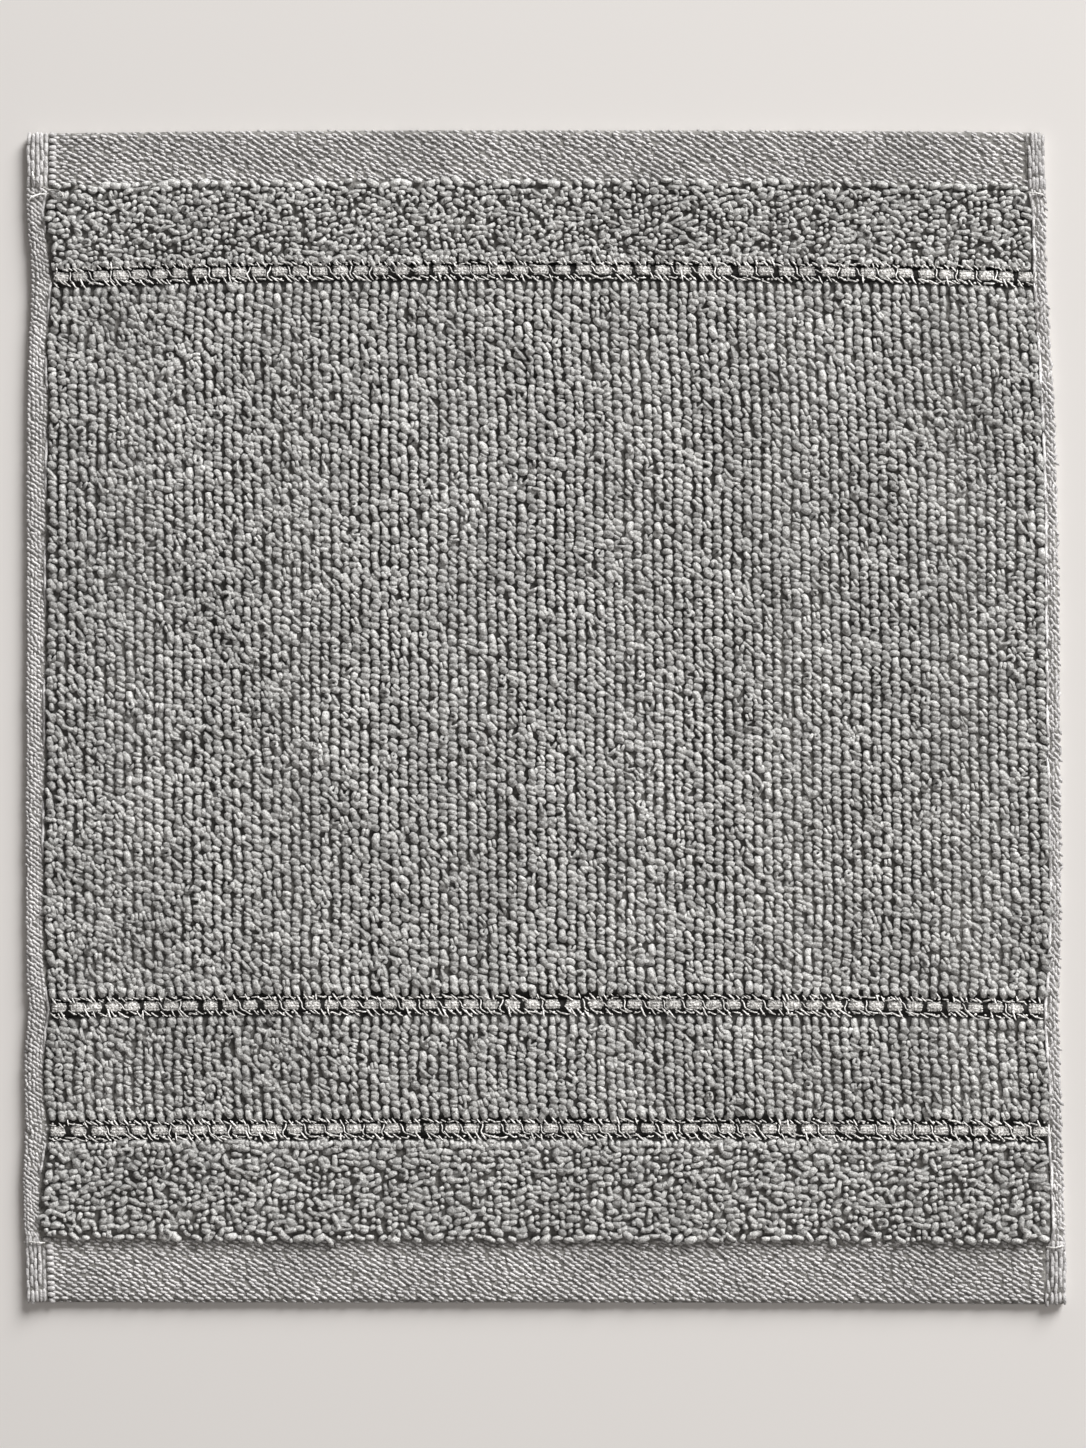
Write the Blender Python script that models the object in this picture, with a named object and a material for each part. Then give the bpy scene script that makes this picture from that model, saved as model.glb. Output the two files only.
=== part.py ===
"""Flat terry washcloth, one piece of cloth with four hemmed edges.

Metres, +Z up. The origin is on the surface under the middle of the cloth, which
lies flat on its underside with its loop side up. +Y points to the end with one
border line, -Y to the end with two.
"""

import math
from collections import namedtuple

import bmesh
import bpy
from mathutils import Vector, noise

# Heights above the surface of the cloth's different weaves.
PILE_HEIGHT = 0.0048
END_HEM_HEIGHT = 0.0028
SIDE_HEM_HEIGHT = 0.0032
SEAM_HEIGHT = 0.0022
GROOVE_HEIGHT = 0.0029
RIBBON_HEIGHT = 0.0039
EDGE_HEIGHT = 0.0014

# The loops stand in upright ribs called wales, between the two side seams.
WALES = 102
WALES_PER_PANEL = 6
POINTS_PER_WALE = 2
WALE_CREST = 0.0003
WALE_VALLEY = -0.0006

# A rounded edge is read as steps inward, each with its share of the full rise.
# The last step is also the radius of the cloth's corners.
EdgeStep = namedtuple("EdgeStep", "inward rise")
EDGE_STEPS = (
    EdgeStep(0.0, 0.0),
    EdgeStep(0.0005, 0.7),
    EdgeStep(0.0013, 1.0),
)
ROUNDING = EDGE_STEPS[-1].inward

# The underside runs in from the edge in two steps to the flat that it rests on.
UnderStep = namedtuple("UnderStep", "inward height")
UNDER_STEPS = (UnderStep(0.0003, 0.0005), UnderStep(0.0006, 0.0))

# The side hem's inner lip, the stitched seam beside it and the first loops.
SEAM_LIP = 0.0006
PILE_FOOT = 0.0010
PILE_SHOULDER = 0.94

# Straight lines of the weave, which sag towards the two sides of the cloth.
Line = namedtuple("Line", "y left_sag right_sag")
TOP_EDGE = Line(0.1705, 0.0010, 0.0007)
TOP_HEM = Line(0.1549, 0.0013, 0.0017)
UPPER_BORDER = Line(0.1298, 0.0025, 0.0023)
MIDDLE_BORDER = Line(-0.0831, 0.0012, 0.0015)
LOWER_BORDER = Line(-0.1191, 0.0011, 0.0011)
BOTTOM_HEM = Line(-0.1512, -0.0007, 0.0006)
BOTTOM_EDGE = Line(-0.1699, -0.0001, 0.0006)
LINES = (TOP_EDGE, TOP_HEM, UPPER_BORDER, MIDDLE_BORDER, LOWER_BORDER, BOTTOM_HEM, BOTTOM_EDGE)
SAG_POWER = 2.6

# The two side edges down the cloth, with the widths of their hems.
Station = namedtuple("Station", "y left right left_hem right_hem")
STATIONS = (
    Station(0.1704, -0.1501, 0.1448, 0.0064, 0.0054),
    Station(0.1560, -0.1501, 0.1453, 0.0062, 0.0054),
    Station(0.1485, -0.1500, 0.1454, 0.0048, 0.0041),
    Station(0.1385, -0.1493, 0.1454, 0.0052, 0.0039),
    Station(0.1289, -0.1485, 0.1455, 0.0056, 0.0038),
    Station(0.1109, -0.1494, 0.1468, 0.0048, 0.0040),
    Station(0.0927, -0.1499, 0.1478, 0.0060, 0.0039),
    Station(0.0689, -0.1500, 0.1486, 0.0055, 0.0038),
    Station(0.0341, -0.1501, 0.1493, 0.0054, 0.0042),
    Station(-0.0123, -0.1502, 0.1497, 0.0052, 0.0040),
    Station(-0.0529, -0.1503, 0.1498, 0.0050, 0.0034),
    Station(-0.0732, -0.1502, 0.1494, 0.0052, 0.0037),
    Station(-0.0834, -0.1495, 0.1490, 0.0059, 0.0043),
    Station(-0.0964, -0.1507, 0.1494, 0.0055, 0.0040),
    Station(-0.1080, -0.1507, 0.1499, 0.0054, 0.0036),
    Station(-0.1196, -0.1504, 0.1500, 0.0064, 0.0041),
    Station(-0.1356, -0.1512, 0.1505, 0.0045, 0.0037),
    Station(-0.1501, -0.1508, 0.1508, 0.0046, 0.0036),
    Station(-0.1544, -0.1506, 0.1512, 0.0060, 0.0061),
    Station(-0.1701, -0.1501, 0.1512, 0.0061, 0.0062),
)

# A border line is a ribbon that lies in a groove between two banks of loops.
BorderStep = namedtuple("BorderStep", "offset height")
BORDER_STEPS = (
    BorderStep(0.0035, PILE_HEIGHT * PILE_SHOULDER),
    BorderStep(0.0028, GROOVE_HEIGHT),
    BorderStep(0.0015, GROOVE_HEIGHT),
    BorderStep(0.0010, RIBBON_HEIGHT),
    BorderStep(-0.0010, RIBBON_HEIGHT),
    BorderStep(-0.0015, GROOVE_HEIGHT),
    BorderStep(-0.0028, GROOVE_HEIGHT),
    BorderStep(-0.0035, PILE_HEIGHT * PILE_SHOULDER),
)
BORDER_REACH = BORDER_STEPS[0].offset
WALE_START = 0.0012
HEM_STEP = 0.0006

# Soft rolls left in the cloth as it was laid down, leaning to the right at their foot.
Roll = namedtuple("Roll", "x y length width lean height")
ROLLS = (
    Roll(0.0943, 0.0863, 0.086, 0.014, 31.0, 0.0009),
    Roll(0.1291, 0.0993, 0.060, 0.011, 25.0, 0.0006),
    Roll(0.0732, 0.0399, 0.084, 0.013, 28.0, 0.0007),
    Roll(0.0581, 0.0080, 0.066, 0.012, 20.0, 0.0006),
    Roll(0.0079, 0.0732, 0.100, 0.013, 11.0, 0.0007),
    Roll(-0.0057, -0.0225, 0.088, 0.012, 3.0, 0.0008),
    Roll(0.1219, -0.0700, 0.090, 0.011, 0.0, 0.0008),
    Roll(-0.0420, 0.0862, 0.060, 0.010, 5.0, 0.0005),
    Roll(-0.0652, 0.0370, 0.110, 0.012, 5.0, 0.0005),
    Roll(-0.1101, -0.0297, 0.070, 0.012, 20.0, 0.0005),
)
LUMP_HEIGHT = 0.00022
LUMP_SPACING = 0.016

# Rows of points down each band of loops.
UPPER_BAND_ROWS = 3
FIELD_ROWS = 13
MIDDLE_BAND_ROWS = 3
LOWER_BAND_ROWS = 4

GREY = (0.33, 0.325, 0.315, 1.0)
SHARP_ANGLE = math.radians(50.0)

Row = namedtuple("Row", "y height ribbed inward")


def between(low, high, share):
    return low + (high - low) * share


def read_table(table, y):
    """One row of a table that runs down the cloth, worked out for this y."""
    if y >= table[0].y:
        return table[0]
    for upper, lower in zip(table, table[1:]):
        if y >= lower.y:
            share = (upper.y - y) / (upper.y - lower.y)
            return type(upper)(*(between(a, b, share) for a, b in zip(upper, lower)))
    return table[-1]


def edge_rows(line, direction):
    """Rows of the rounded end edge, given from the edge inwards."""
    return [Row(line.y + direction * step.inward, END_HEM_HEIGHT, False, step.inward) for step in EDGE_STEPS]


def hem_rows(line, direction):
    """The two rows where an end hem meets the loops, given from the hem to the loops."""
    return [
        Row(line.y, END_HEM_HEIGHT, False, ROUNDING),
        Row(line.y + direction * HEM_STEP, PILE_HEIGHT * PILE_SHOULDER, False, ROUNDING),
    ]


def border_rows(line):
    return [Row(line.y + step.offset, step.height, False, ROUNDING) for step in BORDER_STEPS]


def band_rows(start, end, count, ribbed):
    """Evenly spaced rows of loops between two lines of the weave."""
    return [Row(between(start, end, k / (count - 1)), PILE_HEIGHT, ribbed, ROUNDING) for k in range(count)]


def cloth_rows():
    """All rows of points, from the top end of the cloth to the bottom end."""
    below = BORDER_REACH + WALE_START
    rows = edge_rows(TOP_EDGE, -1.0)
    rows += hem_rows(TOP_HEM, -1.0)
    rows += band_rows(TOP_HEM.y - 3.0 * HEM_STEP, UPPER_BORDER.y + below, UPPER_BAND_ROWS, False)
    rows += border_rows(UPPER_BORDER)
    rows += band_rows(UPPER_BORDER.y - below, MIDDLE_BORDER.y + below, FIELD_ROWS, True)
    rows += border_rows(MIDDLE_BORDER)
    rows += band_rows(MIDDLE_BORDER.y - below, LOWER_BORDER.y + below, MIDDLE_BAND_ROWS, True)
    rows += border_rows(LOWER_BORDER)
    rows += band_rows(LOWER_BORDER.y - below, BOTTOM_HEM.y + 3.0 * HEM_STEP, LOWER_BAND_ROWS, False)
    rows += reversed(hem_rows(BOTTOM_HEM, 1.0))
    rows += reversed(edge_rows(BOTTOM_EDGE, 1.0))
    return rows


def side_steps(hem_width):
    """Distance in from a side edge and height of each column of the side hem."""
    rise = SIDE_HEM_HEIGHT - EDGE_HEIGHT
    steps = [(step.inward, EDGE_HEIGHT + rise * step.rise) for step in EDGE_STEPS]
    steps.append((hem_width - SEAM_LIP, SIDE_HEM_HEIGHT))
    steps.append((hem_width, SEAM_HEIGHT))
    return steps


SIDE_COLUMNS = len(side_steps(0.0))
PANELS = WALES // WALES_PER_PANEL
CUTS = WALES_PER_PANEL * POINTS_PER_WALE - 1
COLUMNS = SIDE_COLUMNS + PANELS + SIDE_COLUMNS


def roll_rise(x, y):
    """Height that the soft rolls and lumps add to the loops at one place."""
    rise = LUMP_HEIGHT * noise.noise(Vector((x / LUMP_SPACING, y / LUMP_SPACING, 0.0)))
    for roll in ROLLS:
        lean = math.radians(roll.lean)
        along = (y - roll.y) * math.cos(lean) - (x - roll.x) * math.sin(lean)
        across = (x - roll.x) * math.cos(lean) + (y - roll.y) * math.sin(lean)
        spread = (along / (0.5 * roll.length)) ** 2 + (across / roll.width) ** 2
        if spread < 1.0:
            rise += roll.height * (1.0 - spread) ** 2
    return rise


def wale_rise(column):
    """Crest or valley of a wale, from the point's number across the loops."""
    point = round((column - SIDE_COLUMNS) * WALES_PER_PANEL * POINTS_PER_WALE)
    return WALE_CREST if point % POINTS_PER_WALE else WALE_VALLEY


def sagged(y, x, station):
    """Y of a point on a line of the weave that sags towards the sides."""
    line = read_table(LINES, y)
    middle = 0.5 * (station.left + station.right)
    reach = (x - middle) / (0.5 * (station.right - station.left))
    sag = line.right_sag if reach > 0.0 else line.left_sag
    return y - sag * abs(reach) ** SAG_POWER


def rounded_corner(side_inward, end_inward):
    """Distances in from the two edges, once the sharp corner is made an arc."""
    if side_inward >= ROUNDING or end_inward >= ROUNDING:
        return side_inward, end_inward
    a = 1.0 - side_inward / ROUNDING
    b = 1.0 - end_inward / ROUNDING
    side = ROUNDING * (1.0 - a * math.sqrt(1.0 - 0.5 * b * b))
    end = ROUNDING * (1.0 - b * math.sqrt(1.0 - 0.5 * a * a))
    return side, end


def edge_share(inward):
    for step in EDGE_STEPS:
        if inward <= step.inward:
            return step.rise
    return 1.0


def surface_point(column, row):
    """Place of one point of the upper surface, from its column and row."""
    station = read_table(STATIONS, row.y)
    from_right = COLUMNS - column
    end_shift = 0.0
    if column < SIDE_COLUMNS or from_right < SIDE_COLUMNS:
        on_left = column < SIDE_COLUMNS
        nearest = round(column if on_left else from_right)
        hem = station.left_hem if on_left else station.right_hem
        inward, height = side_steps(hem)[nearest]
        side, end = rounded_corner(inward, row.inward)
        end_shift = (end - row.inward) * (-1.0 if row.y > 0.0 else 1.0)
        x = station.left + side if on_left else station.right - side
    else:
        share = (column - SIDE_COLUMNS) / PANELS
        start = station.left + station.left_hem + PILE_FOOT
        stop = station.right - station.right_hem - PILE_FOOT
        x = between(start, stop, share)
        height = row.height
        if height > SIDE_HEM_HEIGHT:
            height += roll_rise(x, row.y)
        if row.ribbed:
            height += wale_rise(column)
    height = EDGE_HEIGHT + (height - EDGE_HEIGHT) * edge_share(row.inward)
    return Vector((x, sagged(row.y, x, station) + end_shift, height))


def split_wales(mesh, rows):
    """Cut each panel of the ribbed rows into the columns of its wales."""
    ribs = []
    for edge in mesh.edges:
        first, second = edge.verts
        row = round(first.co.y)
        left = min(first.co.x, second.co.x)
        level = abs(first.co.y - second.co.y) < 0.5
        inside = SIDE_COLUMNS - 0.5 < left < SIDE_COLUMNS + PANELS - 0.5
        if level and inside and rows[row].ribbed:
            ribs.append(edge)
    bmesh.ops.subdivide_edges(mesh, edges=ribs, cuts=CUTS, use_grid_fill=True)


def close_underside(mesh):
    """Fill the cloth below its edge and step in to the flat underside."""
    rim = [edge for edge in mesh.edges if edge.is_boundary]
    under = bmesh.ops.edgeloop_fill(mesh, edges=rim)["faces"]
    for step in UNDER_STEPS:
        bmesh.ops.inset_region(mesh, faces=under, thickness=step.inward, use_even_offset=True)
        for vertex in under[0].verts:
            vertex.co.z = step.height


def make_cloth_mesh():
    rows = cloth_rows()
    mesh = bmesh.new()
    bmesh.ops.create_grid(mesh, x_segments=COLUMNS, y_segments=len(rows) - 1, size=0.5)
    for vertex in mesh.verts:
        vertex.co.x = (vertex.co.x + 0.5) * COLUMNS
        vertex.co.y = (0.5 - vertex.co.y) * (len(rows) - 1)
    split_wales(mesh, rows)
    for vertex in mesh.verts:
        vertex.co = surface_point(vertex.co.x, rows[round(vertex.co.y)])
    close_underside(mesh)
    bmesh.ops.recalc_face_normals(mesh, faces=mesh.faces)
    return mesh


def terry_material():
    material = bpy.data.materials.new("grey_terry")
    material.use_nodes = True
    shader = material.node_tree.nodes["Principled BSDF"]
    shader.inputs["Base Color"].default_value = GREY
    shader.inputs["Roughness"].default_value = 0.95
    shader.inputs["Metallic"].default_value = 0.0
    material.diffuse_color = GREY
    return material


def make_cloth(collection):
    """The washcloth: one closed solid with its hems, loops and border lines."""
    mesh = make_cloth_mesh()
    data = bpy.data.meshes.new("washcloth")
    mesh.to_mesh(data)
    mesh.free()
    data.materials.append(terry_material())
    data.shade_smooth()
    data.set_sharp_from_angle(angle=SHARP_ANGLE)
    cloth = bpy.data.objects.new("washcloth", data)
    collection.objects.link(cloth)


def main():
    for old in list(bpy.data.objects):
        bpy.data.objects.remove(old, do_unlink=True)
    collection = bpy.data.collections.new("washcloth")
    bpy.context.scene.collection.children.link(collection)
    make_cloth(collection)


main()
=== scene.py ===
"""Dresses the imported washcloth: loops, woven hems, border lines and the base cloth.

The cloth lies flat with its loop side up. All places are in metres, in the frame
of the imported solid, which the pieces here replace.
"""

import math
import random
from collections import namedtuple

import bmesh
import bpy
import numpy as np
from mathutils import Euler, Matrix, Vector, noise
from mathutils.bvhtree import BVHTree


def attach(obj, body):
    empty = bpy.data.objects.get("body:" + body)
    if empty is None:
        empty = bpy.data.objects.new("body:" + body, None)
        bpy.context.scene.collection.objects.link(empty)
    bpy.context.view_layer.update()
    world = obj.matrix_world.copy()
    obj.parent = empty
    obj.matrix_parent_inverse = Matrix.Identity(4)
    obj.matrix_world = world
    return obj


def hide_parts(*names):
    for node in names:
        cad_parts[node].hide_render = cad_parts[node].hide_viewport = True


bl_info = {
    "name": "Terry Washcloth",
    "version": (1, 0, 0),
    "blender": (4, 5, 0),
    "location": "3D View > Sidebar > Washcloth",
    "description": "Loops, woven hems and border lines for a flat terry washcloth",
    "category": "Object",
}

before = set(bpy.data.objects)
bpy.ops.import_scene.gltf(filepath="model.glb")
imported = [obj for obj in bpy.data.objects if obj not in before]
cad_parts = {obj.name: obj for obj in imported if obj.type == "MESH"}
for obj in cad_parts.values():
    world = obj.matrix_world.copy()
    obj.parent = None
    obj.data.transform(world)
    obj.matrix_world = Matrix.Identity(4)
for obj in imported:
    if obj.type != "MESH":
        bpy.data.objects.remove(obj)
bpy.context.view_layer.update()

NODE = "washcloth"
BODY = "root"
MM = 0.001

# Straight lines of the weave, which sag towards the two sides of the cloth.
Line = namedtuple("Line", "y left_sag right_sag")
TOP_EDGE = Line(0.1705, 0.0010, 0.0007)
TOP_HEM = Line(0.1549, 0.0013, 0.0017)
UPPER_BORDER = Line(0.1298, 0.0025, 0.0023)
MIDDLE_BORDER = Line(-0.0831, 0.0012, 0.0015)
LOWER_BORDER = Line(-0.1191, 0.0011, 0.0011)
BOTTOM_HEM = Line(-0.1512, -0.0007, 0.0006)
BOTTOM_EDGE = Line(-0.1699, -0.0001, 0.0006)
LINES = (TOP_EDGE, TOP_HEM, UPPER_BORDER, MIDDLE_BORDER, LOWER_BORDER, BOTTOM_HEM, BOTTOM_EDGE)
BORDERS = (UPPER_BORDER, MIDDLE_BORDER, LOWER_BORDER)
SAG_POWER = 2.6

def tenths(values):
    """Lengths in metres that are written in tenths of a millimetre."""
    return [value / 10000 for value in values]


# The two side edges down the cloth, with the widths of their hems, in tenths of a millimetre.
Station = namedtuple("Station", "y left right left_hem right_hem")
STATIONS = tuple(Station(*tenths(row)) for row in (
    (1704, -1501, 1448, 64, 54),
    (1560, -1501, 1453, 62, 54),
    (1485, -1500, 1454, 48, 41),
    (1385, -1493, 1454, 52, 39),
    (1289, -1485, 1455, 56, 38),
    (1109, -1494, 1468, 48, 40),
    (927, -1499, 1478, 60, 39),
    (689, -1500, 1486, 55, 38),
    (341, -1501, 1493, 54, 42),
    (-123, -1502, 1497, 52, 40),
    (-529, -1503, 1498, 50, 34),
    (-732, -1502, 1494, 52, 37),
    (-834, -1495, 1490, 59, 43),
    (-964, -1507, 1494, 55, 40),
    (-1080, -1507, 1499, 54, 36),
    (-1196, -1504, 1500, 64, 41),
    (-1356, -1512, 1505, 45, 37),
    (-1501, -1508, 1508, 46, 36),
    (-1544, -1506, 1512, 60, 61),
    (-1701, -1501, 1512, 61, 62),
))
WALES = 102
PILE_FOOT = 1.0 * MM
ROUNDING = 1.3 * MM
BORDER_REACH = 3.5 * MM

# The photograph's frame over the cloth, and the distance it is seen from.
VIEW_HEIGHT = 0.41992
VIEW_CENTRE = (-0.0005, -0.0019)
VIEW_DISTANCE = 1.2
SENSOR = 36.0


def between(low, high, share):
    return low + (high - low) * share


def read_table(table, y):
    """One row of a table that runs down the cloth, worked out for this y."""
    if y >= table[0].y:
        return table[0]
    for upper, lower in zip(table, table[1:]):
        if y >= lower.y:
            share = (upper.y - y) / (upper.y - lower.y)
            return type(upper)(*(between(a, b, share) for a, b in zip(upper, lower)))
    return table[-1]


def sagged(x, y):
    """Y of a point on a line of the weave that sags towards the sides."""
    station = read_table(STATIONS, y)
    line = read_table(LINES, y)
    middle = 0.5 * (station.left + station.right)
    reach = (x - middle) / (0.5 * (station.right - station.left))
    sag = line.right_sag if reach > 0.0 else line.left_sag
    return y - sag * abs(reach) ** SAG_POWER


def hem_width(station, on_left):
    return station.left_hem if on_left else station.right_hem


def in_from_side(station, on_left, inward):
    """X of a place that is this far in from a side edge."""
    return station.left + inward if on_left else station.right - inward


def pile_span(y):
    """The two ends of the loops between the side seams."""
    station = read_table(STATIONS, y)
    return station.left + station.left_hem + PILE_FOOT, station.right - station.right_hem - PILE_FOOT


CAD_TREE = BVHTree.FromObject(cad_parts[NODE], bpy.context.evaluated_depsgraph_get())
RAY_START = 0.02
EDGE_PLANE = 1.2 * MM
PILE_EDGE = 4.4 * MM
HEM_MARGIN = 2.0 * MM


def cad_height(x, y):
    """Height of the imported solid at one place, or the edge's own where it has ended."""
    spot = CAD_TREE.ray_cast(Vector((x, y, RAY_START)), Vector((0.0, 0.0, -1.0)))[0]
    return spot.z if spot else EDGE_PLANE


def pile_height(x, y):
    """Height of the loops' tops, which stays full up to the edges of the pile."""
    for line in BORDERS:
        if abs(y - line.y) < PILE_EDGE:
            y = line.y + math.copysign(PILE_EDGE, y - line.y)
    y = min(max(y, BOTTOM_HEM.y + HEM_MARGIN), TOP_HEM.y - HEM_MARGIN)
    return cad_height(x, sagged(x, y))


# Small yarn shapes, which are copied and joined. The twist is in radians a metre.
Shape = namedtuple("Shape", "points fibres hollows corners sizes")
YARN_TWIST = 1500.0


def shape_of(mesh):
    """A bmesh as the arrays that its copies are joined from."""
    layer = mesh.verts.layers.float_vector["fibre"]
    hollow = mesh.verts.layers.float.get("hollow") or mesh.verts.layers.float.new("hollow")
    mesh.verts.index_update()
    shape = Shape(
        np.array([tuple(vertex.co) for vertex in mesh.verts]),
        np.array([tuple(vertex[layer]) for vertex in mesh.verts]),
        np.array([vertex[hollow] for vertex in mesh.verts]),
        np.array([vertex.index for face in mesh.faces for vertex in face.verts]),
        np.array([len(face.verts) for face in mesh.faces]),
    )
    mesh.free()
    return shape


def twisted(along, side, up):
    """Place within a twisted yarn, so that its fibres wind round it."""
    turn = YARN_TWIST * along
    return along, side * math.cos(turn) - up * math.sin(turn), side * math.sin(turn) + up * math.cos(turn)


# Outline across a bean, by its number of sides: one point below, the others over its top half.
ACROSS = {
    4: ((0.0, -1.0), (1.0, 0.0), (0.0, 1.0), (-1.0, 0.0)),
    5: ((0.0, -1.0), (1.0, 0.0), (0.68, 0.88), (-0.68, 0.88), (-1.0, 0.0)),
    6: ((0.0, -1.0), (1.0, 0.0), (0.74, 0.74), (0.0, 1.0), (-0.74, 0.74), (-1.0, 0.0)),
}
# EYE_SHADE and CURL_SHADE are painted shade, taken out of the yarn's colour in a loop's parting and on a
# curl.
EYE_DEPTH = 0.4 * MM
EYE_SHADE = 0.3
BLUNTNESS = 0.38
CURL_SHADE = 0.2


def bean(length, width, depth, bend=0.0, droop=0.0, rings=5, sides=5, eye=0.0, crease=0.6):
    """The back of a loop: a plump arched piece of yarn, with its top at zero.

    eye is how far the two legs of the loop part in its middle, from 0 to 1, where painted shade also darkens
    it, and
    crease is the painted shade at its sides: the share of light taken out of its colour where it meets the
    next.
    """
    mesh = bmesh.new()
    lying = Matrix.Rotation(math.radians(90.0), 4, "Y")
    bmesh.ops.create_uvsphere(mesh, u_segments=sides, v_segments=rings, radius=1.0, matrix=lying)
    layer = mesh.verts.layers.float_vector.new("fibre")
    hollow = mesh.verts.layers.float.new("hollow")
    for vertex in mesh.verts:
        along = vertex.co.x
        side = round(math.atan2(vertex.co.y, -vertex.co.z) / math.tau * sides) % sides
        across, up = ACROSS[sides][side]
        radius = math.hypot(vertex.co.y, vertex.co.z) * (1.0 + BLUNTNESS * along * along)
        x = 0.5 * length * along
        y = 0.5 * width * radius * across
        z = 0.5 * depth * radius * up
        vertex[layer] = twisted(x, y, z)
        # Painted shade: a bean's sides, where it meets the next, and the parting of its legs are darker.
        vertex[hollow] = crease if z < 0.1 * depth else 0.0
        if abs(along) < 0.4 and z > 0.1 * depth:
            z -= eye * EYE_DEPTH
            vertex[hollow] = eye * EYE_SHADE
        vertex.co = (x, y - bend * along * along, z - droop * along * along - 0.5 * depth)
    return shape_of(mesh)


def paired(shape, apart):
    """Two of a shape side by side, as the two legs of one loop."""
    half = np.array((0.0, 0.5 * apart, 0.0))
    left = shape._replace(points=shape.points + half)
    right = shape._replace(points=shape.points - half, corners=shape.corners + len(shape.points))
    return Shape(*map(np.concatenate, zip(left, right)))


def path_frames(path, taper):
    """One frame for each point of a path, turned without twist from the one before."""
    frames = []
    turn = None
    for index, point in enumerate(path):
        after = path[min(index + 1, len(path) - 1)]
        before = path[max(index - 1, 0)]
        ahead = (after - before).normalized()
        if turn is None:
            turn = Vector((0.0, 0.0, 1.0)).rotation_difference(ahead)
        else:
            turn = last.rotation_difference(ahead) @ turn
        last = ahead
        size = taper if index in (0, len(path) - 1) else 1.0
        frames.append(Matrix.LocRotScale(point, turn, Vector((size, size, size))))
    return frames


def strand(path, radius, sides=5, taper=0.7):
    """A yarn along a path: the end of a short stub is drawn out from point to point."""
    path = [Vector(point) for point in path]
    frames = path_frames(path, taper)
    mesh = bmesh.new()
    layer = mesh.verts.layers.float_vector.new("fibre")
    bmesh.ops.create_circle(mesh, cap_ends=True, segments=sides, radius=radius, matrix=frames[0])
    ring = mesh.verts[:]
    tip = mesh.faces[:][0]
    run = 0.0
    mark_ring(ring, layer, frames[0], run)
    for index in range(1, len(frames)):
        made = bmesh.ops.extrude_face_region(mesh, geom=[tip])["geom"]
        ring = [part for part in made if isinstance(part, bmesh.types.BMVert)]
        tip = next(part for part in made if isinstance(part, bmesh.types.BMFace))
        bmesh.ops.transform(mesh, matrix=frames[index] @ frames[index - 1].inverted(), verts=ring)
        run += (path[index] - path[index - 1]).length
        mark_ring(ring, layer, frames[index], run)
    bmesh.ops.recalc_face_normals(mesh, faces=mesh.faces)
    return shape_of(mesh)


def mark_ring(ring, layer, place, run):
    back = place.inverted()
    for vertex in ring:
        local = back @ vertex.co
        vertex[layer] = twisted(run, local.x, local.y)


def curl(radius, sweep, arm, dip, yarn, steps=5):
    """A loop that has come open: it comes up, turns through an arc and goes down again.

    Its colour is darkened with painted shade, as it lies lower than the others. radius, arm and dip are in
    millimetres, and sweep is in degrees.
    """
    points = []
    for step in range(steps):
        angle = math.radians(sweep) * (step / (steps - 1) - 0.5)
        points.append((radius * MM * math.cos(angle), radius * MM * math.sin(angle), -yarn))
    inward = math.radians(90.0 - 0.5 * sweep)
    lead = Vector((-arm * MM * math.cos(inward), -arm * MM * math.sin(inward), -dip * MM))
    start = Vector(points[0]) + lead
    end = Vector(points[-1]) + Vector((lead.x, -lead.y, lead.z))
    shape = strand([start, *points, end], yarn, sides=4)
    return shape._replace(hollows=shape.hollows + CURL_SHADE)


class Copies:
    """Small shapes that are placed one by one and joined into one mesh."""

    def __init__(self, seed):
        self.random = random.Random(seed)
        self.placed = []
        self.count = 0

    def place(self, shape, spot, yaw, tilt=0.0, roll=0.0, size=1.0, tone=1.0):
        turn = Euler((math.radians(roll), math.radians(tilt), math.radians(yaw))).to_matrix()
        matrix = np.array(turn) * size
        start = np.array((self.random.uniform(0.0, 1.0), 0.0, 0.0))
        self.placed.append((
            shape.points @ matrix.T + np.array(tuple(spot)),
            shape.fibres * size + start,
            # The piece's tone, less its painted shade.
            tone * (1.0 - shape.hollows),
            shape.corners + self.count,
            shape.sizes,
        ))
        self.count += len(shape.points)

    def join(self, name, material):
        """The joined mesh as one piece that goes with the cloth."""
        points, fibres, tones, corners, sizes = map(np.concatenate, zip(*self.placed))
        data = bpy.data.meshes.new(name)
        data.vertices.add(self.count)
        data.vertices.foreach_set("co", points.ravel())
        data.loops.add(len(corners))
        data.loops.foreach_set("vertex_index", corners)
        data.polygons.add(len(sizes))
        data.polygons.foreach_set("loop_start", np.cumsum(sizes) - sizes)
        data.update(calc_edges=True)
        tone = data.attributes.new("tone", "FLOAT", "POINT")
        tone.data.foreach_set("value", tones)
        fibre = data.attributes.new("fibre", "FLOAT_VECTOR", "POINT")
        fibre.data.foreach_set("vector", fibres.ravel())
        return add_piece(name, data, material)


def add_piece(name, data, material):
    data.shade_smooth()
    data.materials.append(material)
    piece = bpy.data.objects.new(name, data)
    bpy.context.scene.collection.objects.link(piece)
    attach(piece, BODY)
    return piece


# Finishes.
FIBRE_SCALE = 1500.0
FIBRE_STRETCH = (0.3, 1.0, 1.0)
FIBRE_RELIEF = 0.16 * MM
TUFT_RELIEF = 0.32
# PATCH_SCALE and PATCH_TONES make broad patches of painted shade, standing in for soft rolls of the cloth.
PATCH_SCALE = 42.0
NOISE_SPAN = (0.3, 0.7)
FIBRE_TONES = (0.80, 1.17)
PATCH_TONES = (0.89, 1.11)
ROUGHNESSES = (0.96, 0.82)


def set_inputs(node, **values):
    """Set a node's inputs by name, with a line where the name has a space."""
    for name, value in values.items():
        node.inputs[name.replace("_", " ")].default_value = value


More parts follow.
